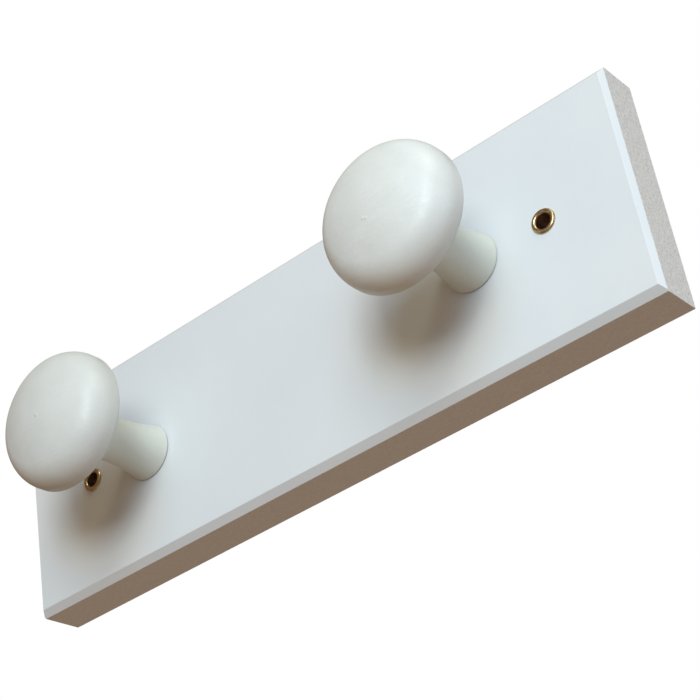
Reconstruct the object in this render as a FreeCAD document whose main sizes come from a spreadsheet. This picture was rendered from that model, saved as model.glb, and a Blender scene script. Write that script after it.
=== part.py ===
"""Wall-hung coat rack: a chamfered board with two turned mushroom pegs.

The rack is modelled as it hangs on a wall. +X runs along the board, +Z is up, and the board's
back face lies on the plane Y = 0, with the pegs pointing along -Y into the room. The origin is
the middle of the back face. All sizes are in millimetres.
"""
import FreeCAD, Part
import math
import os

import Sketcher

# ---- driving dimensions: alias, value, meaning -------------------------------------------------

SIZES = [
    ("board_length", 266.0, "board, along X"),
    ("board_height", 84.0, "board, along Z"),
    ("board_thickness", 18.0, "standard MDF thickness"),
    ("edge_chamfer", 2.4, "45 degree chamfer along both long front edges"),
    ("end_chamfer_face", 1.5, "end chamfer, measured on the front face"),
    ("end_chamfer_depth", 1.9, "end chamfer, measured on the end face"),
    ("knob_pitch", 145.5, "between the two peg axes"),
    ("left_knob_drop", 1.6, "left peg, drilled low of the board's centre line"),
    ("knob_base_dia", 20.6, "stem where it meets the board"),
    ("knob_base_rounding", 0.45, "softened edge of the stem's foot"),
    ("waist_dia", 16.0, "thinnest part of the stem"),
    ("waist_reach", 17.0, "from the board to the waist"),
    ("head_dia", 48.6, "peg head"),
    ("rim_reach", 37.6, "from the board to the lower end of the head's side"),
    ("rim_rounding", 1.5, "rounding of the head's lower rim"),
    ("shoulder_radius", 10.5, "between the head's side and its dome"),
    ("dome_radius", 46.0, "shallow dome of the head"),
    ("knob_reach", 53.1, "from the board to the top of the dome"),
    ("screw_dia", 4.0, "outside of the screw's thread, and the hole it cuts in the peg"),
    ("knob_hole_depth", 24.0, "straight part of that hole"),
    ("screw_length", 40.0, "from the flat of the head to the point"),
    ("screw_point", 4.0, "length of the pointed tip"),
    ("screw_head_dia", 8.0, "countersunk head"),
    ("screw_head_rim", 0.3, "short straight rim of the countersunk head"),
    ("screw_hole_dia", 4.4, "clearance hole in the board"),
    ("recess_width", 4.4, "cross recess, across its arms"),
    ("recess_slot", 1.0, "cross recess, width of an arm"),
    ("recess_depth", 1.8, "cross recess, depth"),
    ("eyelet_pitch", 202.0, "between the two hanging holes"),
    ("eyelet_bore_dia", 5.2, "inside of the eyelet, and the hole behind it"),
    ("eyelet_wall", 0.4, "sheet brass"),
    ("eyelet_flange_dia", 8.7, "outside of the rolled flange"),
    ("eyelet_barrel", 9.0, "length of the barrel inside the board"),
    ("eyelet_seat_depth", 10.0, "depth of the wider hole that takes the barrel"),
]

doc = FreeCAD.newDocument("coat_rack")
sheet = doc.addObject("Spreadsheet::Sheet", "Sizes")


def fill_sheet():
    """Write every driving dimension into the sheet, with its alias and its meaning."""
    for row, (alias, value, meaning) in enumerate(SIZES, start=1):
        sheet.set(f"A{row}", meaning)
        sheet.set(f"B{row}", str(value))
        sheet.setAlias(f"B{row}", alias)
    doc.recompute()


def size(alias):
    """The sheet's present value of one dimension."""
    return float(getattr(sheet, alias))


# ---- sketch and feature helpers ----------------------------------------------------------------

def new_body(name):
    """A body whose label is its node name."""
    body = doc.addObject("PartDesign::Body", name)
    body.Label = name
    return body


def origin_feature(body, role):
    """One of the body's own origin planes or axes."""
    return [item for item in body.Origin.OriginFeatures if item.Role == role][0]


def new_sketch(body, name, plane):
    """A sketch on one of the body's origin planes."""
    sketch = body.newObject("Sketcher::SketchObject", name)
    sketch.AttachmentSupport = (origin_feature(body, plane), "")
    sketch.MapMode = "FlatFace"
    return sketch


def bind(sketch, constraint, expression):
    """Add a dimensional constraint and drive it from the sheet."""
    index = sketch.addConstraint(constraint)
    sketch.setExpression(f"Constraints[{index}]", expression)


def place_point(sketch, geometry, end, x_expression, y_expression):
    """Hold one point of the sketch at sheet-driven coordinates; None puts it on that axis."""
    if x_expression is None:
        sketch.addConstraint(Sketcher.Constraint("PointOnObject", geometry, end, -2))
    else:
        x_now = sketch.getPoint(geometry, end).x
        bind(sketch, Sketcher.Constraint("DistanceX", -1, 1, geometry, end, x_now), x_expression)
    if y_expression is None:
        sketch.addConstraint(Sketcher.Constraint("PointOnObject", geometry, end, -1))
    else:
        y_now = sketch.getPoint(geometry, end).y
        bind(sketch, Sketcher.Constraint("DistanceY", -1, 1, geometry, end, y_now), y_expression)


def value_of(expression):
    """The present value of a sheet expression, for a sketch's starting coordinates."""
    if expression is None:
        return 0.0
    return float(sheet.evalExpression(expression.replace("Sizes.", "")))


def add_polygon(sketch, corners):
    """A closed polygon whose corners are pairs of sheet expressions."""
    points = [FreeCAD.Vector(value_of(x), value_of(y), 0) for x, y in corners]
    first = sketch.GeometryCount
    count = len(points)
    for index in range(count):
        line = Part.LineSegment(points[index], points[(index + 1) % count])
        sketch.addGeometry(line, False)
    for index in range(count):
        following = first + (index + 1) % count
        sketch.addConstraint(Sketcher.Constraint("Coincident", first + index, 2, following, 1))
    for index, (x_expression, y_expression) in enumerate(corners):
        place_point(sketch, first + index, 1, x_expression, y_expression)


def add_circle(sketch, x_expression, y_expression, diameter_expression):
    """A circle with a sheet-driven centre and diameter."""
    centre = FreeCAD.Vector(value_of(x_expression), value_of(y_expression), 0)
    radius = value_of(diameter_expression) / 2
    circle = sketch.addGeometry(Part.Circle(centre, FreeCAD.Vector(0, 0, 1), radius), False)
    place_point(sketch, circle, 3, x_expression, y_expression)
    bind(sketch, Sketcher.Constraint("Diameter", circle, 2 * radius), diameter_expression)


def add_pair_of_circles(sketch, pitch_expression, diameter_expression, left_height=None):
    """Two equal circles, one on each side of the board's middle, on its centre line by default."""
    for side, height in (("-", left_height), ("", None)):
        add_circle(sketch, f"{side}{pitch_expression} / 2", height, diameter_expression)


def revolve(body, sketch, name):
    """Turn a profile a full circle about the sketch's vertical axis."""
    turned = body.newObject("PartDesign::Revolution", name)
    turned.Profile = sketch
    turned.ReferenceAxis = (sketch, ["V_Axis"])
    turned.Angle = 360.0
    doc.recompute()
    return turned


def arc(centre, radius, start_deg, end_deg):
    """A counter-clockwise arc about a centre (x, y)."""
    circle = Part.Circle(FreeCAD.Vector(centre[0], centre[1], 0), FreeCAD.Vector(0, 0, 1), radius)
    return Part.ArcOfCircle(circle, math.radians(start_deg), math.radians(end_deg))


def pocket_volume(body, feature):
    """How much a cutting feature takes off the body, so that a cut into thin air is noticed."""
    doc.recompute()
    removed = feature.BaseFeature.Shape.Volume - feature.Shape.Volume
    if removed <= 1.0:
        raise RuntimeError(f"{body.Label}: {feature.Label} removes no material")


# ---- backboard ---------------------------------------------------------------------------------

def make_backboard():
    """A board of MDF: section padded along X, then the end chamfers and the four holes."""
    body = new_body("backboard")

    section = new_sketch(body, "board_section", "YZ_Plane")
    top = "Sizes.board_height / 2"
    top_flat = "Sizes.board_height / 2 - Sizes.edge_chamfer"
    front = "-Sizes.board_thickness"
    front_flat = "-Sizes.board_thickness + Sizes.edge_chamfer"
    add_polygon(section, [
        (None, f"-({top})"),
        (None, top),
        (front_flat, top),
        (front, top_flat),
        (front, f"-({top_flat})"),
        (front_flat, f"-({top})"),
    ])
    board = body.newObject("PartDesign::Pad", "board_length_pad")
    board.Profile = section
    board.SideType = "Symmetric"
    board.setExpression("Length", "Sizes.board_length")
    doc.recompute()

    ends = new_sketch(body, "end_chamfer_profile", "XY_Plane")
    for side in ("-", ""):
        end = f"{side}Sizes.board_length / 2"
        inner = f"{side}(Sizes.board_length / 2 - Sizes.end_chamfer_face)"
        depth = "-Sizes.board_thickness + Sizes.end_chamfer_depth"
        add_polygon(ends, [(end, depth), (end, front), (inner, front)])
    end_chamfers = body.newObject("PartDesign::Pocket", "end_chamfers")
    end_chamfers.Profile = ends
    end_chamfers.SideType = "Symmetric"
    end_chamfers.setExpression("Length", "Sizes.board_height + 2")
    pocket_volume(body, end_chamfers)

    through = new_sketch(body, "hanging_hole_centres", "XZ_Plane")
    add_pair_of_circles(through, "Sizes.eyelet_pitch", "Sizes.eyelet_bore_dia")
    hanging_holes = body.newObject("PartDesign::Pocket", "hanging_holes")
    hanging_holes.Profile = through
    hanging_holes.Reversed = True
    hanging_holes.setExpression("Length", "Sizes.board_thickness")
    pocket_volume(body, hanging_holes)

    seats = new_sketch(body, "eyelet_seat_centres", "XZ_Plane")
    seats.setExpression(".AttachmentOffset.Base.z", "Sizes.board_thickness")
    doc.recompute()
    add_pair_of_circles(seats, "Sizes.eyelet_pitch", "Sizes.eyelet_bore_dia + 2 * Sizes.eyelet_wall")
    eyelet_seats = body.newObject("PartDesign::Pocket", "eyelet_seats")
    eyelet_seats.Profile = seats
    eyelet_seats.setExpression("Length", "Sizes.eyelet_seat_depth")
    pocket_volume(body, eyelet_seats)

    centres = new_sketch(body, "knob_screw_centres", "XZ_Plane")
    add_pair_of_circles(
        centres, "Sizes.knob_pitch", "Sizes.screw_hole_dia", "-Sizes.left_knob_drop"
    )
    doc.recompute()
    screw_holes = body.newObject("PartDesign::Hole", "knob_screw_holes")
    screw_holes.Profile = centres
    screw_holes.Reversed = True
    screw_holes.DepthType = "ThroughAll"
    screw_holes.setExpression("Diameter", "Sizes.screw_hole_dia")
    screw_holes.HoleCutType = "Countersink"
    screw_holes.HoleCutCountersinkAngle = 90.0
    screw_holes.setExpression("HoleCutDiameter", "Sizes.screw_head_dia + 2 * Sizes.screw_head_rim")
    pocket_volume(body, screw_holes)
    return body


# ---- pegs --------------------------------------------------------------------------------------

def knob_profile(body):
    """Half section of a peg: sketch X is the radius, and -Y is the reach from the board."""
    sketch = new_sketch(body, "knob_profile", "XY_Plane")
    base = size("knob_base_dia") / 2
    waist = size("waist_dia") / 2
    waist_y = -size("waist_reach")
    head = size("head_dia") / 2
    rim_y = -size("rim_reach")
    corner = size("rim_rounding")
    shoulder = size("shoulder_radius")
    dome = size("dome_radius")
    top_y = -size("knob_reach")
    hole = size("screw_dia") / 2
    hole_y = -size("knob_hole_depth")

    under_x = head - corner
    under_y = rim_y + corner
    stem_radius = ((base - waist) ** 2 + waist_y ** 2) / (2 * (base - waist))
    flare_rise = under_y - waist_y
    flare_radius = ((under_x - waist) ** 2 + flare_rise ** 2) / (2 * (under_x - waist))
    stem_end = math.degrees(math.asin(-waist_y / stem_radius))
    flare_end = math.degrees(math.atan2(flare_rise, under_x - waist - flare_radius))
    dome_y = top_y + dome
    shoulder_x = head - shoulder
    shoulder_y = dome_y - math.sqrt((dome - shoulder) ** 2 - shoulder_x ** 2)
    blend = math.degrees(math.atan2(shoulder_y - dome_y, shoulder_x))

    foot, stem, flare, rim, side, turn, crown, core, tip, wall = range(10)
    tip_y = hole_y - hole
    point = FreeCAD.Vector
    sketch.addGeometry([
        Part.LineSegment(point(hole, 0, 0), point(base, 0, 0)),
        arc((waist + stem_radius, waist_y), stem_radius, 180 - stem_end, 180),
        arc((waist + flare_radius, waist_y), flare_radius, 180, 360 + flare_end),
        arc((under_x, rim_y), corner, 0, 90),
        Part.LineSegment(point(head, rim_y, 0), point(head, shoulder_y, 0)),
        arc((shoulder_x, shoulder_y), shoulder, blend, 0),
        arc((0, dome_y), dome, -90, blend),
        Part.LineSegment(point(0, top_y, 0), point(0, tip_y, 0)),
        Part.LineSegment(point(0, tip_y, 0), point(hole, hole_y, 0)),
        Part.LineSegment(point(hole, hole_y, 0), point(hole, 0, 0)),
    ], False)

    joins = [(foot, 2, stem, 1), (stem, 2, flare, 1), (flare, 2, rim, 2), (crown, 1, core, 1),
             (core, 2, tip, 1), (tip, 2, wall, 1), (wall, 2, foot, 1)]
    for join in joins:
        sketch.addConstraint(Sketcher.Constraint("Coincident", *join))
    for smooth in [(rim, 1, side, 1), (side, 2, turn, 2), (turn, 1, crown, 2)]:
        sketch.addConstraint(Sketcher.Constraint("Tangent", *smooth))

    waist_level = "-Sizes.waist_reach"
    place_point(sketch, foot, 1, "Sizes.screw_dia / 2", None)
    place_point(sketch, foot, 2, "Sizes.knob_base_dia / 2", None)
    place_point(sketch, stem, 2, "Sizes.waist_dia / 2", waist_level)
    bind(sketch, Sketcher.Constraint("DistanceY", -1, 1, stem, 3, waist_y), waist_level)
    bind(sketch, Sketcher.Constraint("DistanceY", -1, 1, flare, 3, waist_y), waist_level)
    place_point(sketch, rim, 2, "Sizes.head_dia / 2 - Sizes.rim_rounding",
                "-Sizes.rim_reach + Sizes.rim_rounding")
    place_point(sketch, side, 1, "Sizes.head_dia / 2", "-Sizes.rim_reach")
    sketch.addConstraint(Sketcher.Constraint("Vertical", side))
    bind(sketch, Sketcher.Constraint("Radius", turn, shoulder), "Sizes.shoulder_radius")
    bind(sketch, Sketcher.Constraint("Radius", crown, dome), "Sizes.dome_radius")
    sketch.addConstraint(Sketcher.Constraint("PointOnObject", crown, 3, -2))
    place_point(sketch, core, 1, None, "-Sizes.knob_reach")
    place_point(sketch, core, 2, None, "-Sizes.knob_hole_depth - Sizes.screw_dia / 2")
    place_point(sketch, wall, 1, "Sizes.screw_dia / 2", "-Sizes.knob_hole_depth")
    return sketch


def put_on_peg_axis(body, side):
    """Move a body sideways to its peg's axis, and the left one down with its hole."""
    body.setExpression(".Placement.Base.x", f"{side}Sizes.knob_pitch / 2")
    if side == "-":
        body.setExpression(".Placement.Base.z", "-Sizes.left_knob_drop")


def make_knob(name, side):
    """A one-piece turned peg, foot down on the board's front face."""
    body = new_body(name)
    turned = revolve(body, knob_profile(body), "knob_turning")
    foot_radius = size("knob_base_dia") / 2
    foot_edge = [
        f"Edge{index}" for index, edge in enumerate(turned.Shape.Edges, start=1)
        if not edge.Degenerated and isinstance(edge.Curve, Part.Circle)
        and abs(edge.Curve.Radius - foot_radius) < 1e-4
        and abs(edge.Curve.Center.y) < 1e-4
    ]
    softened = body.newObject("PartDesign::Fillet", "foot_rounding")
    softened.Base = (turned, foot_edge)
    softened.setExpression("Radius", "Sizes.knob_base_rounding")
    doc.recompute()
    put_on_peg_axis(body, side)
    body.setExpression(".Placement.Base.y", "-Sizes.board_thickness")
    return body


# ---- peg screws --------------------------------------------------------------------------------

def make_knob_screw(name, side):
    """A countersunk wood screw, driven from the back through the board into the peg."""
    body = new_body(name)
    sketch = new_sketch(body, "screw_profile", "XY_Plane")
    head = "Sizes.screw_head_dia / 2"
    shank = "Sizes.screw_dia / 2"
    cone_end = f"-Sizes.screw_head_rim - {head} + {shank}"
    add_polygon(sketch, [
        (None, None),
        (head, None),
        (head, "-Sizes.screw_head_rim"),
        (shank, cone_end),
        (shank, "-Sizes.screw_length + Sizes.screw_point"),
        (None, "-Sizes.screw_length"),
    ])
    revolve(body, sketch, "screw_turning")

    cross = new_sketch(body, "recess_outline", "XZ_Plane")
    arm = "Sizes.recess_width / 2"
    slot = "Sizes.recess_slot / 2"
    add_polygon(cross, [
        (slot, arm), (slot, slot), (arm, slot),
        (arm, f"-{slot}"), (slot, f"-{slot}"), (slot, f"-{arm}"),
        (f"-{slot}", f"-{arm}"), (f"-{slot}", f"-{slot}"), (f"-{arm}", f"-{slot}"),
        (f"-{arm}", slot), (f"-{slot}", slot), (f"-{slot}", arm),
    ])
    recess = body.newObject("PartDesign::Pocket", "cross_recess")
    recess.Profile = cross
    recess.Reversed = True
    recess.setExpression("Length", "Sizes.recess_depth")
    pocket_volume(body, recess)
    put_on_peg_axis(body, side)
    return body


# ---- eyelets -----------------------------------------------------------------------------------

def make_eyelet(name, side):
    """A sheet-brass eyelet: a barrel in the board and a flange rolled over onto its face."""
    body = new_body(name)
    sketch = new_sketch(body, "eyelet_profile", "XY_Plane")
    bore = size("eyelet_bore_dia") / 2
    sheet_wall = size("eyelet_wall")
    flange = size("eyelet_flange_dia") / 2
    depth = size("eyelet_barrel")
    roll_centre = (bore + flange) / 2
    roll = (flange - bore) / 2

    inside, outer_roll, lip, inner_roll, outside, end = range(6)
    point = FreeCAD.Vector
    sketch.addGeometry([
        Part.LineSegment(point(bore, depth, 0), point(bore, 0, 0)),
        arc((roll_centre, 0), roll, 180, 360),
        Part.LineSegment(point(flange, 0, 0), point(flange - sheet_wall, 0, 0)),
        arc((roll_centre, 0), roll - sheet_wall, 180, 360),
        Part.LineSegment(point(bore + sheet_wall, 0, 0), point(bore + sheet_wall, depth, 0)),
        Part.LineSegment(point(bore + sheet_wall, depth, 0), point(bore, depth, 0)),
    ], False)
    joins = [(inside, 2, outer_roll, 1), (outer_roll, 2, lip, 1), (lip, 2, inner_roll, 2),
             (inner_roll, 1, outside, 1), (outside, 2, end, 1), (end, 2, inside, 1)]
    for join in joins:
        sketch.addConstraint(Sketcher.Constraint("Coincident", *join))
    barrel_radius = "Sizes.eyelet_bore_dia / 2 + Sizes.eyelet_wall"
    place_point(sketch, inside, 1, "Sizes.eyelet_bore_dia / 2", "Sizes.eyelet_barrel")
    place_point(sketch, inside, 2, "Sizes.eyelet_bore_dia / 2", None)
    place_point(sketch, lip, 1, "Sizes.eyelet_flange_dia / 2", None)
    place_point(sketch, lip, 2, "Sizes.eyelet_flange_dia / 2 - Sizes.eyelet_wall", None)
    place_point(sketch, outside, 1, barrel_radius, None)
    place_point(sketch, outside, 2, barrel_radius, "Sizes.eyelet_barrel")
    for roll_arc in (outer_roll, inner_roll):
        sketch.addConstraint(Sketcher.Constraint("PointOnObject", roll_arc, 3, -1))
    revolve(body, sketch, "eyelet_turning")
    body.setExpression(".Placement.Base.x", f"{side}Sizes.eyelet_pitch / 2")
    body.setExpression(".Placement.Base.y", "-Sizes.board_thickness")
    return body


# ---- build, check and write --------------------------------------------------------------------

def check_document():
    """Stop on any failed object, and on any sketch that its dimensions don't fully hold."""
    for item in doc.Objects:
        failed = [state for state in item.State if state in ("Invalid", "Error")]
        if failed:
            raise RuntimeError(f"{item.Label}: {failed}")
        if item.TypeId == "Sketcher::SketchObject" and not item.FullyConstrained:
            raise RuntimeError(f"{item.Label}: not fully constrained")


def write_parts(bodies):
    """Check each piece and write its STEP file."""
    os.makedirs("parts", exist_ok=True)
    for body in bodies:
        shape = body.Shape
        if shape.isNull() or not shape.isValid() or len(shape.Solids) != 1:
            raise RuntimeError(f"{body.Label}: not one valid solid")
        box = shape.optimalBoundingBox(False)
        print(f"{body.Label}: {shape.Volume:.1f} mm3, "
              f"X {box.XMin:.2f}..{box.XMax:.2f}, Y {box.YMin:.2f}..{box.YMax:.2f}, "
              f"Z {box.ZMin:.2f}..{box.ZMax:.2f}")
        shape.exportStep(f"parts/{body.Label}.step")


fill_sheet()
pieces = [make_backboard()]
for side_name, side_sign in (("left", "-"), ("right", "")):
    pieces.append(make_knob(f"{side_name}_knob", side_sign))
    pieces.append(make_knob_screw(f"{side_name}_knob_screw", side_sign))
    pieces.append(make_eyelet(f"{side_name}_eyelet", side_sign))
doc.recompute()
check_document()
write_parts(pieces)
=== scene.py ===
import math

import bmesh
import bpy
from mathutils import Euler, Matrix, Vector


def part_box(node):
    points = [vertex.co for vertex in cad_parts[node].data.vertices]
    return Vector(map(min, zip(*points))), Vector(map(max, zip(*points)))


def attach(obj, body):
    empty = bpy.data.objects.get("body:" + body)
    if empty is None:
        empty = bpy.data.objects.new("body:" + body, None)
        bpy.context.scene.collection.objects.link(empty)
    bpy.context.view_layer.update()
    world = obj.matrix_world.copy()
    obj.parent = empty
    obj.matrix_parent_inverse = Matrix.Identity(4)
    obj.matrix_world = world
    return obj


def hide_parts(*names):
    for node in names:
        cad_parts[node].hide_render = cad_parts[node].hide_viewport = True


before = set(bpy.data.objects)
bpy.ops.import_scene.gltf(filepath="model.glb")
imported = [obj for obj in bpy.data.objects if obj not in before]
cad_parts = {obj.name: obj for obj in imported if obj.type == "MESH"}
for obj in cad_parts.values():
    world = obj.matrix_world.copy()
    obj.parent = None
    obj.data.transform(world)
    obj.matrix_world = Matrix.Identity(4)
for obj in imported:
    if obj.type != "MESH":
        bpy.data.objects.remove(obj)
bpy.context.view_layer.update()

MM = 0.001
scene = bpy.context.scene


# ---- backboard ---------------------------------------------------------------------------------
# A length of 18 mm MDF with a chamfer machined around its front face. Two holes are lined with
# eyelets for the wall screws, and two countersunk ones at the back take the peg screws. It is
# painted white all over, thinly at the back, and the drilled walls are left raw.

EDGE_ROUNDING = 0.5 * MM
SHARP_ANGLE = math.radians(25)
HOLE_REACH = 4.7 * MM  # drilled walls lie within this distance of a hole's axis
FACE_WHITE = (0.761, 0.820, 0.830)
FACE_SHADE = (0.735, 0.797, 0.813)
EDGE_WHITE = (0.890, 0.902, 0.855)
EDGE_SHADE = (0.660, 0.668, 0.645)
EDGE_PIT = (0.560, 0.550, 0.520)
RAW_LIGHT = (0.430, 0.270, 0.150)
RAW_DARK = (0.270, 0.155, 0.080)


def new_material(name):
    """A node material with its shader, and the piece's own coordinates."""
    material = bpy.data.materials.new(name)
    material.use_nodes = True
    tree = material.node_tree
    shader = tree.nodes["Principled BSDF"]
    place = tree.nodes.new("ShaderNodeTexCoord")
    return material, tree, shader, place.outputs["Object"]


def noise(tree, place, size, detail=2.0, stretch=(1.0, 1.0, 1.0)):
    """Noise whose lumps are about `size` metres across, drawn out along the stretched axes."""
    scaled = tree.nodes.new("ShaderNodeVectorMath")
    scaled.operation = "MULTIPLY"
    scaled.inputs[1].default_value = [1.0 / (size * amount) for amount in stretch]
    tree.links.new(place, scaled.inputs[0])
    texture = tree.nodes.new("ShaderNodeTexNoise")
    texture.inputs["Scale"].default_value = 1.0
    texture.inputs["Detail"].default_value = detail
    tree.links.new(scaled.outputs["Vector"], texture.inputs["Vector"])
    return texture.outputs["Fac"]


def spread(tree, value, low, high, out_low=0.0, out_high=1.0):
    """Stretch a value's range low..high to out_low..out_high, and clip it there."""
    node = tree.nodes.new("ShaderNodeMapRange")
    names = ("From Min", "From Max", "To Min", "To Max")
    for name, number in zip(names, (low, high, out_low, out_high)):
        node.inputs[name].default_value = number
    tree.links.new(value, node.inputs["Value"])
    return node.outputs["Result"]


def blend_colours(tree, factor, first, second):
    """Mix two colours, each a tuple or another node's output."""
    node = tree.nodes.new("ShaderNodeMix")
    node.data_type = "RGBA"
    tree.links.new(factor, node.inputs["Factor"])
    for socket, colour in ((node.inputs["A"], first), (node.inputs["B"], second)):
        if isinstance(colour, tuple):
            socket.default_value = (*colour, 1.0)
        else:
            tree.links.new(colour, socket)
    return node.outputs["Result"]


def relief(tree, shader, height, depth, strength=1.0, under=None):
    """Raise a height map on the surface, on top of the relief that is there already."""
    node = tree.nodes.new("ShaderNodeBump")
    node.inputs["Strength"].default_value = strength
    node.inputs["Distance"].default_value = depth
    tree.links.new(height, node.inputs["Height"])
    if under is not None:
        tree.links.new(under, node.inputs["Normal"])
    tree.links.new(node.outputs["Normal"], shader.inputs["Normal"])
    return node.outputs["Normal"]


def face_paint():
    """Rolled white paint on the board's smooth faces: a slight stipple and a slow unevenness."""
    material, tree, shader, place = new_material("board_face_paint")
    shader.inputs["IOR"].default_value = 1.45
    patches = spread(tree, noise(tree, place, 35 * MM, 3.0), 0.35, 0.65)
    paint = blend_colours(tree, patches, FACE_WHITE, FACE_SHADE)
    tree.links.new(paint, shader.inputs["Base Color"])
    stipple = noise(tree, place, 1.1 * MM, 2.0)
    waves = noise(tree, place, 9 * MM, 1.0)
    tree.links.new(spread(tree, waves, 0.3, 0.7, 0.46, 0.58), shader.inputs["Roughness"])
    first = relief(tree, shader, waves, 0.10 * MM, 0.5)
    relief(tree, shader, stipple, 0.02 * MM, 0.5, first)
    return material


def edge_paint(name, coarseness):
    """The same paint soaked into cut MDF: a furry grain with small pits, duller and warmer."""
    material, tree, shader, place = new_material(name)
    shader.inputs["IOR"].default_value = 1.45
    fibres = noise(tree, place, 0.9 * MM, 3.0)
    flecks = spread(tree, fibres, 0.36, 0.64, 0.5 - coarseness / 2, 0.5 + coarseness / 2)
    pits = spread(tree, noise(tree, place, 0.75 * MM, 1.0), 0.60, 0.72, 0.0, coarseness)
    grain = blend_colours(tree, flecks, EDGE_SHADE, EDGE_WHITE)
    tree.links.new(blend_colours(tree, pits, grain, EDGE_PIT), shader.inputs["Base Color"])
    tree.links.new(spread(tree, fibres, 0.3, 0.7, 0.78, 0.62), shader.inputs["Roughness"])
    furry = relief(tree, shader, fibres, 0.22 * MM, 0.7 * coarseness)
    relief(tree, shader, spread(tree, pits, 0.0, 1.0, 1.0, 0.0), 0.10 * MM, 0.5, furry)
    return material


def raw_mdf():
    """Drilled MDF: brown compressed fibre, fuzzy and matt."""
    material, tree, shader, place = new_material("raw_mdf")
    fibres = noise(tree, place, 0.4 * MM, 4.0)
    tree.links.new(
        blend_colours(tree, spread(tree, fibres, 0.3, 0.7), RAW_DARK, RAW_LIGHT),
        shader.inputs["Base Color"],
    )
    shader.inputs["Roughness"].default_value = 0.92
    relief(tree, shader, fibres, 0.15 * MM, 0.8)
    return material


def thin_back_paint():
    """One thin coat over the back: brush marks along the board, with the MDF showing through."""
    material, tree, shader, place = new_material("board_back_paint")
    strokes = noise(tree, place, 2.2 * MM, 3.0, (22.0, 1.0, 1.0))
    worn = spread(tree, strokes, 0.56, 0.78, 0.0, 0.38)
    tree.links.new(blend_colours(tree, worn, EDGE_WHITE, RAW_LIGHT), shader.inputs["Base Color"])
    tree.links.new(spread(tree, strokes, 0.3, 0.7, 0.62, 0.78), shader.inputs["Roughness"])
    relief(tree, shader, strokes, 0.08 * MM, 0.6)
    return material


def finished_mesh(piece, name):
    """The piece's shape with its modifiers applied, as a plain mesh."""
    graph = bpy.context.evaluated_depsgraph_get()
    mesh = bpy.data.meshes.new_from_object(piece.evaluated_get(graph))
    mesh.name = name
    return mesh


def add_piece(name, mesh):
    """An object at the origin for a mesh that is already in its place."""
    piece = bpy.data.objects.new(name, mesh)
    scene.collection.objects.link(piece)
    return piece


def paint_board(mesh):
    """Give each face of the board its finish, by where it lies and which way it faces."""
    finishes = (
        face_paint(), edge_paint("board_edge_paint", 0.25), edge_paint("board_end_paint", 0.75),
        thin_back_paint(), raw_mdf(),
    )
    for material in finishes:
        mesh.materials.append(material)
    on_face, on_edge, on_end, on_back, drilled = range(len(finishes))
    holes = []
    for node in ("left_eyelet", "left_knob", "right_knob", "right_eyelet"):
        low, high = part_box(node)
        holes.append((low + high) / 2)
    for polygon in mesh.polygons:
        spot, facing = polygon.center, polygon.normal
        near_hole = any(math.hypot(spot.x - hole.x, spot.z - hole.z) < HOLE_REACH for hole in holes)
        if near_hole and abs(facing.y) < 0.9:
            polygon.material_index = drilled
        elif facing.y > 0.9:
            polygon.material_index = on_back
        elif abs(facing.x) > 0.9:
            polygon.material_index = on_end
        elif abs(facing.z) > 0.9:
            polygon.material_index = on_edge
        else:
            polygon.material_index = on_face


def make_board():
    """The CAD board with its triangles merged and every sharp edge softened as by sandpaper."""
    blank = add_piece("board_blank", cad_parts["backboard"].data.copy())
    shape = bmesh.new()
    shape.from_mesh(blank.data)
    bmesh.ops.remove_doubles(shape, verts=shape.verts, dist=0.001 * MM)
    bmesh.ops.dissolve_limit(
        shape, angle_limit=math.radians(1), verts=shape.verts, edges=shape.edges
    )
    shape.to_mesh(blank.data)
    shape.free()
    rounding = blank.modifiers.new("sanding", "BEVEL")
    rounding.width = EDGE_ROUNDING
    rounding.segments = 3
    rounding.limit_method = "ANGLE"
    rounding.angle_limit = SHARP_ANGLE
    rounding.harden_normals = True
    mesh = finished_mesh(blank, "painted_board")
    bpy.data.objects.remove(blank)
    mesh.materials.clear()
    board = add_piece("painted_board", mesh)
    paint_board(mesh)
    return board


board = make_board()
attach(board, "root")
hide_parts("backboard")


# ---- pegs --------------------------------------------------------------------------------------
# Each peg is turned in one piece from a hardwood blank: a foot that flares onto the board, a waist,
# a sweep out to the head, and a shallow dome with rounded shoulders. Both are brushed with creamy
# white paint, which leaves faint rings and strokes.

FOOT_RADIUS = 10.3 * MM
FOOT_ROUNDING = 0.45 * MM
WAIST_RADIUS = 8.0 * MM
WAIST_REACH = 17.0 * MM
RIM_REACH = 37.6 * MM
RIM_ROUNDING = 1.5 * MM
SHOULDER_RADIUS = 10.5 * MM
DOME_RADIUS = 46.0 * MM
SCREW_RADIUS = 2.0 * MM
SCREW_HOLE_DEPTH = 24.0 * MM
KNOB_STEPS = 180
SMOOTH_ANGLE = math.radians(35)
LUMP_SIZE = 14 * MM
MULTIPLY = (("operation", "MULTIPLY"),)
KNOB_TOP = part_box("left_knob")[1].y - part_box("left_knob")[0].y
KNOB_WHITE = (0.776, 0.822, 0.786)
KNOB_SHADE = (0.730, 0.778, 0.738)
# Painted shade: the stem, under the head, is coloured greyer and darker.
PAINTED_STEM_SHADE = (0.700, 0.738, 0.655)
STROKE_SHADE = (0.640, 0.665, 0.625)
# Painted shadow: the dark line where the peg's foot meets the board.
PAINTED_FOOT_SHADE = (0.200, 0.165, 0.150)
PIP_RADIUS = 0.8 * MM


def arc_points(centre, radius, first_deg, last_deg, steps):
    """Points along an arc, from one angle to the other."""
    points = []
    for step in range(steps + 1):
        angle = math.radians(first_deg + (last_deg - first_deg) * step / steps)
        points.append((centre[0] + radius * math.cos(angle), centre[1] + radius * math.sin(angle)))
    return points


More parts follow.
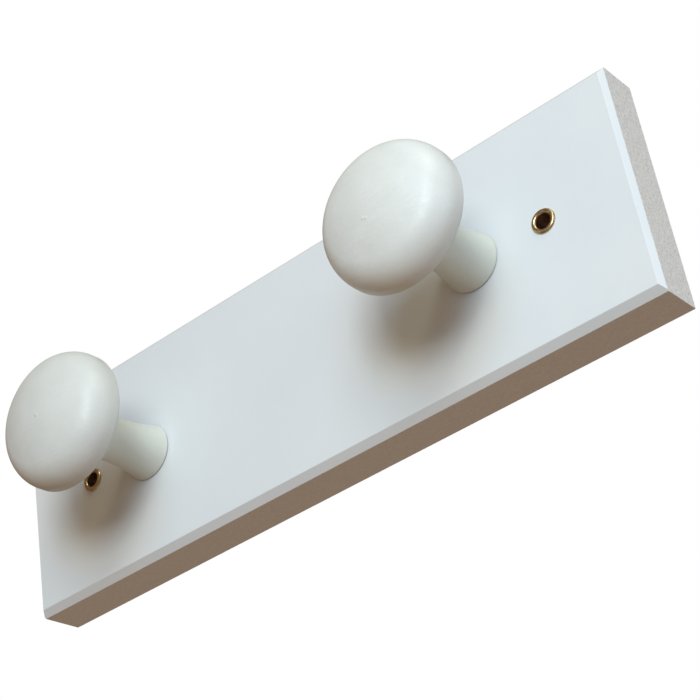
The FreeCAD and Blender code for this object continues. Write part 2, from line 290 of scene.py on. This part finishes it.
def knob_profile():
    """Half section of a peg, as (radius, reach from the board), from the screw hole to the dome."""
    low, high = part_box("left_knob")
    head_radius = (high.x - low.x) / 2
    reach = high.y - low.y
    stem_rise = WAIST_REACH
    stem_gain = FOOT_RADIUS - WAIST_RADIUS
    stem_radius = (stem_gain ** 2 + stem_rise ** 2) / (2 * stem_gain)
    under_radius = head_radius - RIM_ROUNDING
    under_reach = RIM_REACH - RIM_ROUNDING
    flare_gain = under_radius - WAIST_RADIUS
    flare_rise = under_reach - WAIST_REACH
    flare_radius = (flare_gain ** 2 + flare_rise ** 2) / (2 * flare_gain)
    flare_end = math.degrees(math.atan2(flare_rise, flare_gain - flare_radius))
    stem_start = 180 + math.degrees(math.asin((stem_rise - FOOT_ROUNDING) / stem_radius))
    dome_centre = reach - DOME_RADIUS
    shoulder_across = head_radius - SHOULDER_RADIUS
    shoulder_up = math.sqrt((DOME_RADIUS - SHOULDER_RADIUS) ** 2 - shoulder_across ** 2)
    shoulder_reach = dome_centre + shoulder_up
    blend = math.degrees(math.atan2(shoulder_up, shoulder_across))
    foot_centre = (FOOT_RADIUS - FOOT_ROUNDING, FOOT_ROUNDING)
    stem_centre = (WAIST_RADIUS + stem_radius, WAIST_REACH)
    flare_centre = (WAIST_RADIUS + flare_radius, WAIST_REACH)
    return [
        (0.0, SCREW_HOLE_DEPTH + SCREW_RADIUS),
        (SCREW_RADIUS, SCREW_HOLE_DEPTH),
        (SCREW_RADIUS, 0.0),
        *arc_points(foot_centre, FOOT_ROUNDING, -90, 0, 5),
        *arc_points(stem_centre, stem_radius, stem_start, 180, 24)[1:],
        *arc_points(flare_centre, flare_radius, 180, flare_end, 32)[1:],
        *arc_points((under_radius, RIM_REACH), RIM_ROUNDING, -90, 0, 8)[1:],
        *arc_points((shoulder_across, shoulder_reach), SHOULDER_RADIUS, 0, blend, 24),
        *arc_points((0.0, dome_centre), DOME_RADIUS, blend, 90, 32)[1:-1],
        (0.0, reach),
    ]


def new_group(name, **inputs):
    """An empty geometry node group: its tree, its named inputs, and the node its result goes to."""
    tree = bpy.data.node_groups.new(name, "GeometryNodeTree")
    for label, kind in inputs.items():
        tree.interface.new_socket(label, in_out="INPUT", socket_type="NodeSocket" + kind)
    tree.interface.new_socket("Mesh", in_out="OUTPUT", socket_type="NodeSocketGeometry")
    return tree, tree.nodes.new("NodeGroupInput").outputs, tree.nodes.new("NodeGroupOutput")


def put(tree, kind, output=0, options=(), **inputs):
    """Add a node, feed its inputs from sockets or fixed values, and return one of its outputs.

    An input is named by its label, with _ for a space, or by its index, as in _0.
    """
    node = tree.nodes.new(kind)
    for option, choice in options:
        setattr(node, option, choice)
    for label, given in inputs.items():
        by_index = label.startswith("_")
        socket = node.inputs[int(label[1:]) if by_index else label.replace("_", " ")]
        for source in given if isinstance(given, list) else [given]:
            if isinstance(source, bpy.types.NodeSocket):
                tree.links.new(source, socket)
            else:
                socket.default_value = source
    return node.outputs[output]


def spun(tree, outline, steps):
    """Spin an outline, drawn as (radius, reach), about its axis and point it at the room."""
    spindle = 50 * MM
    centred = put(tree, "GeometryNodeTransform", Geometry=outline, Translation=(-spindle, 0, 0))
    circle = put(tree, "GeometryNodeCurvePrimitiveCircle", Resolution=steps, Radius=spindle)
    skin = put(tree, "GeometryNodeCurveToMesh", Curve=circle, Profile_Curve=centred)
    turned = put(tree, "GeometryNodeTransform", Geometry=skin, Rotation=(math.radians(-90), 0, 0))
    return put(tree, "GeometryNodeMergeByDistance", Geometry=turned, Distance=0.002 * MM)


def remember_lathe(tree, mesh):
    """Keep each point's place on the lathe, which the finishes follow."""
    place = put(tree, "GeometryNodeInputPosition")
    kept = (("data_type", "FLOAT_VECTOR"),)
    return put(
        tree, "GeometryNodeStoreNamedAttribute", options=kept,
        Geometry=mesh, Name="on_the_lathe", Value=place,
    )


def placed(tree, exit_node, mesh, foot, finish):
    """Put a mesh on its foot, make it single and finish it."""
    moved = put(tree, "GeometryNodeTransform", Geometry=mesh, Translation=foot)
    single = put(tree, "GeometryNodeRealizeInstances", Geometry=moved)
    finished = put(tree, "GeometryNodeSetMaterial", Geometry=single, Material=finish)
    tree.links.new(finished, exit_node.inputs["Mesh"])


def lathe_tree():
    """Spins an outline into a piece, with the slight unevenness of hand sanding."""
    tree, given, exit_node = new_group(
        "lathe", Outline="Geometry", Steps="Int", Foot="Vector", Waviness="Float", Finish="Material"
    )
    kept = remember_lathe(tree, spun(tree, given["Outline"], given["Steps"]))
    lumps = put(tree, "ShaderNodeTexNoise", Scale=1.0 / LUMP_SIZE, Detail=1.0)
    inward = put(tree, "ShaderNodeMath", options=MULTIPLY, _0=lumps, _1=given["Waviness"])
    facing = put(tree, "GeometryNodeInputNormal")
    scaling = (("operation", "SCALE"),)
    along = put(tree, "ShaderNodeVectorMath", options=scaling, _0=facing, Scale=inward)
    uneven = put(tree, "GeometryNodeSetPosition", Geometry=kept, Offset=along)
    placed(tree, exit_node, uneven, given["Foot"], given["Finish"])
    return tree


LATHE = lathe_tree()


def turn(name, outline, group=LATHE, **settings):
    """Turn an outline of (radius, reach) points into a finished piece, with a group's settings."""
    curve = bpy.data.curves.new(name + "_outline", "CURVE")
    curve.dimensions = "3D"
    spline = curve.splines.new("POLY")
    spline.points.add(len(outline) - 1)
    for point, (radius, reach) in zip(spline.points, outline):
        point.co = (radius, reach, 0.0, 1.0)
    drawn = add_piece(name + "_outline", curve)
    lathe = drawn.modifiers.new("lathe", "NODES")
    lathe.node_group = group
    sockets = {item.name: item.identifier for item in group.interface.items_tree}
    for setting, value in settings.items():
        lathe[sockets[setting]] = value
    mesh = finished_mesh(drawn, name)
    bpy.data.objects.remove(drawn)
    mesh.materials.clear()
    mesh.materials.append(settings["Finish"])
    mesh.shade_smooth()
    mesh.set_sharp_from_angle(angle=SMOOTH_ANGLE)
    return add_piece(name, mesh)


def near_spot(tree, place, spot, reach):
    """1 at a spot, falling to 0 at the given distance from it."""
    gap = tree.nodes.new("ShaderNodeVectorMath")
    gap.operation = "DISTANCE"
    gap.inputs[1].default_value = spot
    tree.links.new(place, gap.inputs[0])
    return spread(tree, gap.outputs["Value"], 0.0, reach, 1.0, 0.0)


def knob_paint(name, painted_shade_tone, pips):
    """Creamy brushed paint over turned wood: strokes, faint rings and pips, with painted shade: a
    greyer stem and a dark line at the foot.
    """
    material, tree, shader, place = new_material(name)
    shader.inputs["IOR"].default_value = 1.47
    # The tone factor darkens the whole peg's paint: on the left peg it is painted shade.
    white, shade = (tuple(painted_shade_tone * part for part in colour) for colour in (KNOB_WHITE, KNOB_SHADE))
    own = tree.nodes.new("ShaderNodeAttribute")
    own.attribute_name = "on_the_lathe"
    lathe = own.outputs["Vector"]
    depth = tree.nodes.new("ShaderNodeSeparateXYZ")
    tree.links.new(lathe, depth.inputs["Vector"])
    patches = spread(tree, noise(tree, place, 9 * MM, 4.0), 0.3, 0.7)
    strokes = noise(tree, lathe, 0.7 * MM, 3.0, (14.0, 1.6, 1.0))
    mottle = noise(tree, place, 0.9 * MM, 3.0)
    # Painted shade: the stem is coloured greyer and darker than the head.
    stem_shade_mask = spread(tree, depth.outputs["Y"], -34 * MM, -26 * MM)
    coat = blend_colours(tree, stem_shade_mask, blend_colours(tree, patches, white, shade), PAINTED_STEM_SHADE)
    drag = spread(tree, noise(tree, place, 14 * MM, 1.0), 0.4, 0.65, 0.1, 1.0)
    streaks = spread(tree, strokes, 0.45, 0.75, 0.0, 0.34)
    dragged = put(tree, "ShaderNodeMath", options=MULTIPLY, _0=streaks, _1=drag)
    brushed = blend_colours(tree, dragged, coat, STROKE_SHADE)
    speckled = blend_colours(tree, spread(tree, mottle, 0.5, 0.8, 0.0, 0.26), brushed, STROKE_SHADE)
    # Painted shadow: a dark ring at the foot, where the peg meets the board.
    foot_shade_mask = spread(tree, depth.outputs["Y"], -0.55 * MM, -0.2 * MM, 0.0, 0.85)
    tree.links.new(blend_colours(tree, foot_shade_mask, speckled, PAINTED_FOOT_SHADE), shader.inputs["Base Color"])
    tree.links.new(spread(tree, strokes, 0.3, 0.7, 0.34, 0.50), shader.inputs["Roughness"])
    normal = relief(tree, shader, strokes, 0.06 * MM, 0.5)
    normal = relief(tree, shader, noise(tree, place, 3 * MM, 2.0), 0.08 * MM, 0.4, normal)
    for across, up in pips:
        pip = near_spot(tree, lathe, (across, -KNOB_TOP, up), PIP_RADIUS)
        normal = relief(tree, shader, pip, 0.25 * MM, 0.8, normal)
    return material


# Each peg's tone, which paints the left peg darker as painted shade, and its pips as (X, Z) from
# the peg's axis: small dried drips near the top.
KNOB_FINISHES = {
    "left": (0.93, [(0.7 * MM, -2.4 * MM)]),
    "right": (1.0, [(-2.2 * MM, -5.2 * MM), (-1.1 * MM, -5.6 * MM)]),
}
for side, (painted_shade_tone, pips) in KNOB_FINISHES.items():
    low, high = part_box(side + "_knob")
    knob = turn(
        side + "_painted_knob",
        knob_profile(),
        Steps=KNOB_STEPS,
        Foot=((low.x + high.x) / 2, high.y, (low.z + high.z) / 2),
        Waviness=-0.08 * MM,
        Finish=knob_paint(side + "_knob_paint", painted_shade_tone, pips),
    )
    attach(knob, "root")
    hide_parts(side + "_knob")


# ---- eyelets -----------------------------------------------------------------------------------
# Each hanging hole is lined with a brass eyelet, pressed from thin sheet: a barrel pushed into the
# board, and a lip rolled over onto its face. The brass is blotched bright and dull, with painted
# shade: a darker brown inside the barrel.

EYELET_STEPS = 72
EYELET_WALL = 0.4 * MM
BRASS_BRIGHT = (0.640, 0.500, 0.290)
BRASS_DULL = (0.330, 0.240, 0.120)
# Painted shade: a darker brown for the inside of the barrel.
PAINTED_BARREL_SHADE = (0.420, 0.260, 0.190)


def eyelet_profile():
    """Closed section of the sheet, as (radius, reach from the board)."""
    low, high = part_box("left_eyelet")
    flange = (high.x - low.x) / 2
    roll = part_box("backboard")[0].y - low.y
    bore = flange - 2 * roll
    barrel = high.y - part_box("backboard")[0].y
    crown = (flange + bore) / 2
    return [
        (bore, -barrel),
        (bore + EYELET_WALL, -barrel),
        *arc_points((crown, 0.0), roll - EYELET_WALL, 180, 0, 16),
        *arc_points((crown, 0.0), roll, 0, 180, 24),
        (bore, -barrel),
    ]


def brass():
    """Rolled brass with fine scratches around it, painted darker brown towards the inside of the
    barrel as shade.
    """
    material, tree, shader, place = new_material("eyelet_brass")
    shader.inputs["Metallic"].default_value = 1.0
    own = tree.nodes.new("ShaderNodeAttribute")
    own.attribute_name = "on_the_lathe"
    depth = tree.nodes.new("ShaderNodeSeparateXYZ")
    tree.links.new(own.outputs["Vector"], depth.inputs["Vector"])
    tarnish = spread(tree, noise(tree, place, 1.2 * MM, 3.0), 0.35, 0.75)
    # Painted shade: the inside of the barrel is coloured darker brown.
    inside = spread(tree, depth.outputs["Y"], -0.2 * MM, 2.5 * MM)
    surface = blend_colours(tree, tarnish, BRASS_BRIGHT, BRASS_DULL)
    tree.links.new(blend_colours(tree, inside, surface, PAINTED_BARREL_SHADE), shader.inputs["Base Color"])
    scratches = noise(tree, own.outputs["Vector"], 0.15 * MM, 2.0)
    tree.links.new(spread(tree, scratches, 0.3, 0.7, 0.24, 0.40), shader.inputs["Roughness"])
    relief(tree, shader, scratches, 0.01 * MM, 0.5)
    return material


BRASS = brass()
for side in ("left", "right"):
    low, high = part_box(side + "_eyelet")
    eyelet = turn(
        side + "_brass_eyelet",
        eyelet_profile(),
        Steps=EYELET_STEPS,
        Foot=((low.x + high.x) / 2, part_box("backboard")[0].y, (low.z + high.z) / 2),
        Waviness=0.0,
        Finish=BRASS,
    )
    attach(eyelet, "root")
    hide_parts(side + "_eyelet")


# ---- peg screws --------------------------------------------------------------------------------
# Countersunk wood screws of zinc-plated steel, driven from the back through the board into the
# pegs. Each has a cold-formed cross recess, a plain shank, and a rolled thread that tapers to a
# point.

SCREW_STEPS = 64
SHANK_RADIUS = 1.65 * MM
CORE_RADIUS = 1.35 * MM
HEAD_RIM = 0.3 * MM
HEAD_BEVEL = (0.15 * MM, 0.12 * MM)
NECK_LENGTH = 1.0 * MM
THREAD_START = 15.0 * MM
THREAD_TURNS = 12
THREAD_HEIGHT = 0.45 * MM
THREAD_GAP = 0.03 * MM
POINT_LENGTH = 4.0 * MM
POINT_TURNS = 2
POINT_THREAD = 3.2 * MM
POINT_RADIUS = 0.15 * MM
RECESS = (4.4 * MM, 1.0 * MM, 1.8 * MM)
RECESS_TAPER = 0.45
ZINC_LIGHT = (0.62, 0.62, 0.60)
ZINC_DARK = (0.48, 0.49, 0.50)


def screw_profile():
    """Half section of the screw without its thread, as (radius, reach from the board's back)."""
    low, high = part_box("left_knob_screw")
    head, length = (high.x - low.x) / 2, high.y - low.y
    return [
        (0.0, 0.0),
        (head - HEAD_BEVEL[0], 0.0),
        (head, HEAD_BEVEL[1]),
        (head, HEAD_RIM),
        (SHANK_RADIUS, HEAD_RIM + head - SHANK_RADIUS),
        (SHANK_RADIUS, THREAD_START - NECK_LENGTH),
        (CORE_RADIUS, THREAD_START),
        (CORE_RADIUS, length - POINT_LENGTH),
        (0.0, length),
    ]


def wound(tree, start, turns, first_radius, last_radius, length, height):
    """A ridge of triangular section, wound around the screw from `start` on."""
    coil = put(
        tree, "GeometryNodeCurveSpiral", Resolution=24, Rotations=turns,
        Start_Radius=first_radius, End_Radius=last_radius, Height=length,
    )
    upright = put(tree, "GeometryNodeSetCurveNormal", options=(("mode", "Z_UP"),), Curve=coil)
    triangle = put(tree, "GeometryNodeCurvePrimitiveCircle", Resolution=3, Radius=height)
    half_turn = (0, 0, math.radians(180))
    ridge = put(tree, "GeometryNodeTransform", Geometry=triangle, Rotation=half_turn)
    thread = put(
        tree, "GeometryNodeCurveToMesh", Curve=upright, Profile_Curve=ridge, Fill_Caps=True
    )
    standing = (math.radians(90), 0, 0)
    return put(
        tree, "GeometryNodeTransform", Geometry=thread, Translation=start, Rotation=standing
    )


def cross_arm(tree, size, turn_deg):
    """One tapered arm of the cross that is cut out of the head; `size` is width, slot and depth."""
    half_diagonal = math.sqrt(0.5)
    taper = put(
        tree, "GeometryNodeMeshCone", Vertices=4, Depth=2.0,
        Radius_Top=half_diagonal * (1 + RECESS_TAPER),
        Radius_Bottom=half_diagonal * (1 - RECESS_TAPER),
    )
    squared = put(tree, "GeometryNodeTransform", Geometry=taper, Rotation=(0, 0, math.radians(45)))
    lowered = put(tree, "GeometryNodeTransform", Geometry=squared, Translation=(0, 0, -1.0))
    arm = put(tree, "GeometryNodeTransform", Geometry=lowered, Scale=size)
    standing = (math.radians(-90), math.radians(turn_deg), 0)
    return put(tree, "GeometryNodeTransform", Geometry=arm, Rotation=standing)


def screw_tree():
    """Spins a screw's body, cuts its cross recess, and winds its thread down to the point."""
    tree, given, exit_node = new_group(
        "wood_screw", Outline="Geometry", Steps="Int", Foot="Vector", Recess="Vector",
        Thread_start="Vector", Thread_turns="Float", Thread_length="Float", Thread_radius="Float",
        Thread_height="Float", Point_start="Vector", Point_turns="Float", Point_length="Float",
        Finish="Material",
    )
    body = spun(tree, given["Outline"], given["Steps"])
    arms = [cross_arm(tree, given["Recess"], turn_deg) for turn_deg in (0, 90)]
    cutting = (("operation", "DIFFERENCE"), ("solver", "EXACT"))
    recessed = put(tree, "GeometryNodeMeshBoolean", options=cutting, Mesh_1=body, Mesh_2=arms)
    radius, height = given["Thread_radius"], given["Thread_height"]
    thread = wound(
        tree, given["Thread_start"], given["Thread_turns"],
        radius, radius, given["Thread_length"], height,
    )
    point = wound(
        tree, given["Point_start"], given["Point_turns"],
        radius, POINT_RADIUS, given["Point_length"], height,
    )
    whole = put(tree, "GeometryNodeJoinGeometry", Geometry=[recessed, thread, point])
    placed(tree, exit_node, remember_lathe(tree, whole), given["Foot"], given["Finish"])
    return tree


def zinc():
    """Zinc plating: a cool grey metal, blotchy, with fine turning marks around the axis."""
    material, tree, shader, place = new_material("zinc_plate")
    shader.inputs["Metallic"].default_value = 1.0
    bloom = noise(tree, place, 1.5 * MM, 3.0)
    plating = blend_colours(tree, spread(tree, bloom, 0.3, 0.7), ZINC_LIGHT, ZINC_DARK)
    tree.links.new(plating, shader.inputs["Base Color"])
    tree.links.new(spread(tree, bloom, 0.3, 0.7, 0.30, 0.48), shader.inputs["Roughness"])
    relief(tree, shader, noise(tree, place, 0.25 * MM, 3.0), 0.02 * MM, 0.4)
    return material


ZINC = zinc()
SCREW = screw_tree()
for side in ("left", "right"):
    low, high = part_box(side + "_knob_screw")
    axis_x, axis_z = (low.x + high.x) / 2, (low.z + high.z) / 2
    point_start = high.y - low.y - POINT_LENGTH
    screw = turn(
        side + "_zinc_screw",
        screw_profile(),
        SCREW,
        Steps=SCREW_STEPS,
        Foot=(axis_x, high.y, axis_z),
        Recess=RECESS,
        Thread_start=(0.0, -THREAD_START, 0.0),
        Thread_turns=float(THREAD_TURNS),
        Thread_length=point_start - THREAD_START,
        Thread_radius=SCREW_RADIUS - THREAD_GAP - THREAD_HEIGHT,
        Thread_height=THREAD_HEIGHT,
        Point_start=(0.0, -point_start, 0.0),
        Point_turns=float(POINT_TURNS),
        Point_length=POINT_THREAD,
        Finish=ZINC,
    )
    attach(screw, "root")
    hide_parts(side + "_knob_screw")


# ---- studio ------------------------------------------------------------------------------------
# A plain floor well below the rack. A soft window of four panes lights the rack from the front
# right, a side wall and the ceiling fill in from the right, and two soft panels light its back and
# left end. The room is white to the eye, but lights the rack only dimly and warmly.

FLOOR_DROP = 2.5
FLOOR_SIZE = 2.6
FLOOR_COLOUR = (0.90, 0.89, 0.88)
ROOM_TINT = (1.0, 0.64, 0.40)
ROOM_STRENGTH = 0.24
LIGHT_DISTANCE = 1.75
LIGHT_SIZE = 0.55

# Tints of the lights, from the warmest to the coolest.
CREAM = (1.0, 1.0, 0.80)
DAYLIGHT = (1.0, 1.0, 0.92)
COOL = (0.85, 0.90, 1.0)
BLUE = (0.45, 0.70, 1.0)

# Each light's direction from the rack (degrees from straight ahead, degrees up), watts and tint.
LIGHTS = {
    "pane_low_left": (25, 0, 10.5, DAYLIGHT),
    "pane_low_right": (35, 0, 6.0, BLUE),
    "pane_high_left": (20, 20, 5.0, BLUE),
    "pane_high_right": (35, 20, 6.5, COOL),
    "side_wall": (90, 0, 4.0, BLUE),
    "ceiling": (60, 50, 6.0, CREAM),
    "behind": (170, 5, 9.0, COOL),
    "behind_left": (-150, 5, 9.0, COOL),
}


def soft_light(name, azimuth_deg, elevation_deg, power, colour):
    """A square panel of light aimed at the rack."""
    azimuth, elevation = math.radians(azimuth_deg), math.radians(elevation_deg)
    outward = Vector((
        math.sin(azimuth) * math.cos(elevation),
        -math.cos(azimuth) * math.cos(elevation),
        math.sin(elevation),
    ))
    data = bpy.data.lights.new(name, "AREA")
    data.size = LIGHT_SIZE
    data.energy = power
    data.color = colour
    panel = bpy.data.objects.new(name, data)
    panel.location = outward * LIGHT_DISTANCE
    panel.rotation_euler = (-outward).to_track_quat("-Z", "Y").to_euler()
    scene.collection.objects.link(panel)


for name, settings in LIGHTS.items():
    soft_light(name, *settings)


def make_floor():
    """A round, plain floor."""
    shape = bmesh.new()
    bmesh.ops.create_circle(shape, cap_ends=True, segments=96, radius=FLOOR_SIZE / 2)
    mesh = bpy.data.meshes.new("floor")
    shape.to_mesh(mesh)
    shape.free()
    floor = add_piece("floor", mesh)
    floor.location.z = -FLOOR_DROP
    material, _, shader, _ = new_material("floor_paper")
    shader.inputs["Base Color"].default_value = (*FLOOR_COLOUR, 1.0)
    shader.inputs["Roughness"].default_value = 0.9
    mesh.materials.append(material)


make_floor()


def make_surroundings():
    """White all around to the eye, which lights the rack only faintly and warmly."""
    world = bpy.data.worlds.new("studio")
    world.use_nodes = True
    tree = world.node_tree
    sky = tree.nodes["Background"]
    seen = tree.nodes.new("ShaderNodeLightPath").outputs["Is Camera Ray"]
    dim = tuple(ROOM_STRENGTH * amount for amount in ROOM_TINT)
    tree.links.new(blend_colours(tree, seen, dim, (1.0, 1.0, 1.0)), sky.inputs["Color"])
    scene.world = world


make_surroundings()
scene.view_settings.view_transform = "Standard"


# ---- camera ------------------------------------------------------------------------------------
# It looks up at the rack from below and to the right, close by, and is rolled so that the board
# slants across the picture.

CAMERA_LENS = 89.57
CAMERA_AZIMUTH = math.radians(34.88)
CAMERA_ELEVATION = math.radians(-30.69)
CAMERA_ROLL = math.radians(-9.99)
CAMERA_DISTANCE = 0.5708
AIM = Vector((0.0213, -0.018, -0.0062))


def make_camera():
    """A camera at its distance from the aim point, by azimuth, elevation and roll."""
    data = bpy.data.cameras.new("camera")
    data.lens = CAMERA_LENS
    data.sensor_width = 36.0
    data.clip_start = 0.01
    camera = bpy.data.objects.new("camera", data)
    back = Vector((
        math.sin(CAMERA_AZIMUTH) * math.cos(CAMERA_ELEVATION),
        -math.cos(CAMERA_AZIMUTH) * math.cos(CAMERA_ELEVATION),
        math.sin(CAMERA_ELEVATION),
    ))
    camera.location = AIM + back * CAMERA_DISTANCE
    level = (-back).to_track_quat("-Z", "Y")
    camera.rotation_euler = (level @ Euler((0, 0, CAMERA_ROLL)).to_quaternion()).to_euler()
    scene.collection.objects.link(camera)
    scene.camera = camera


make_camera()
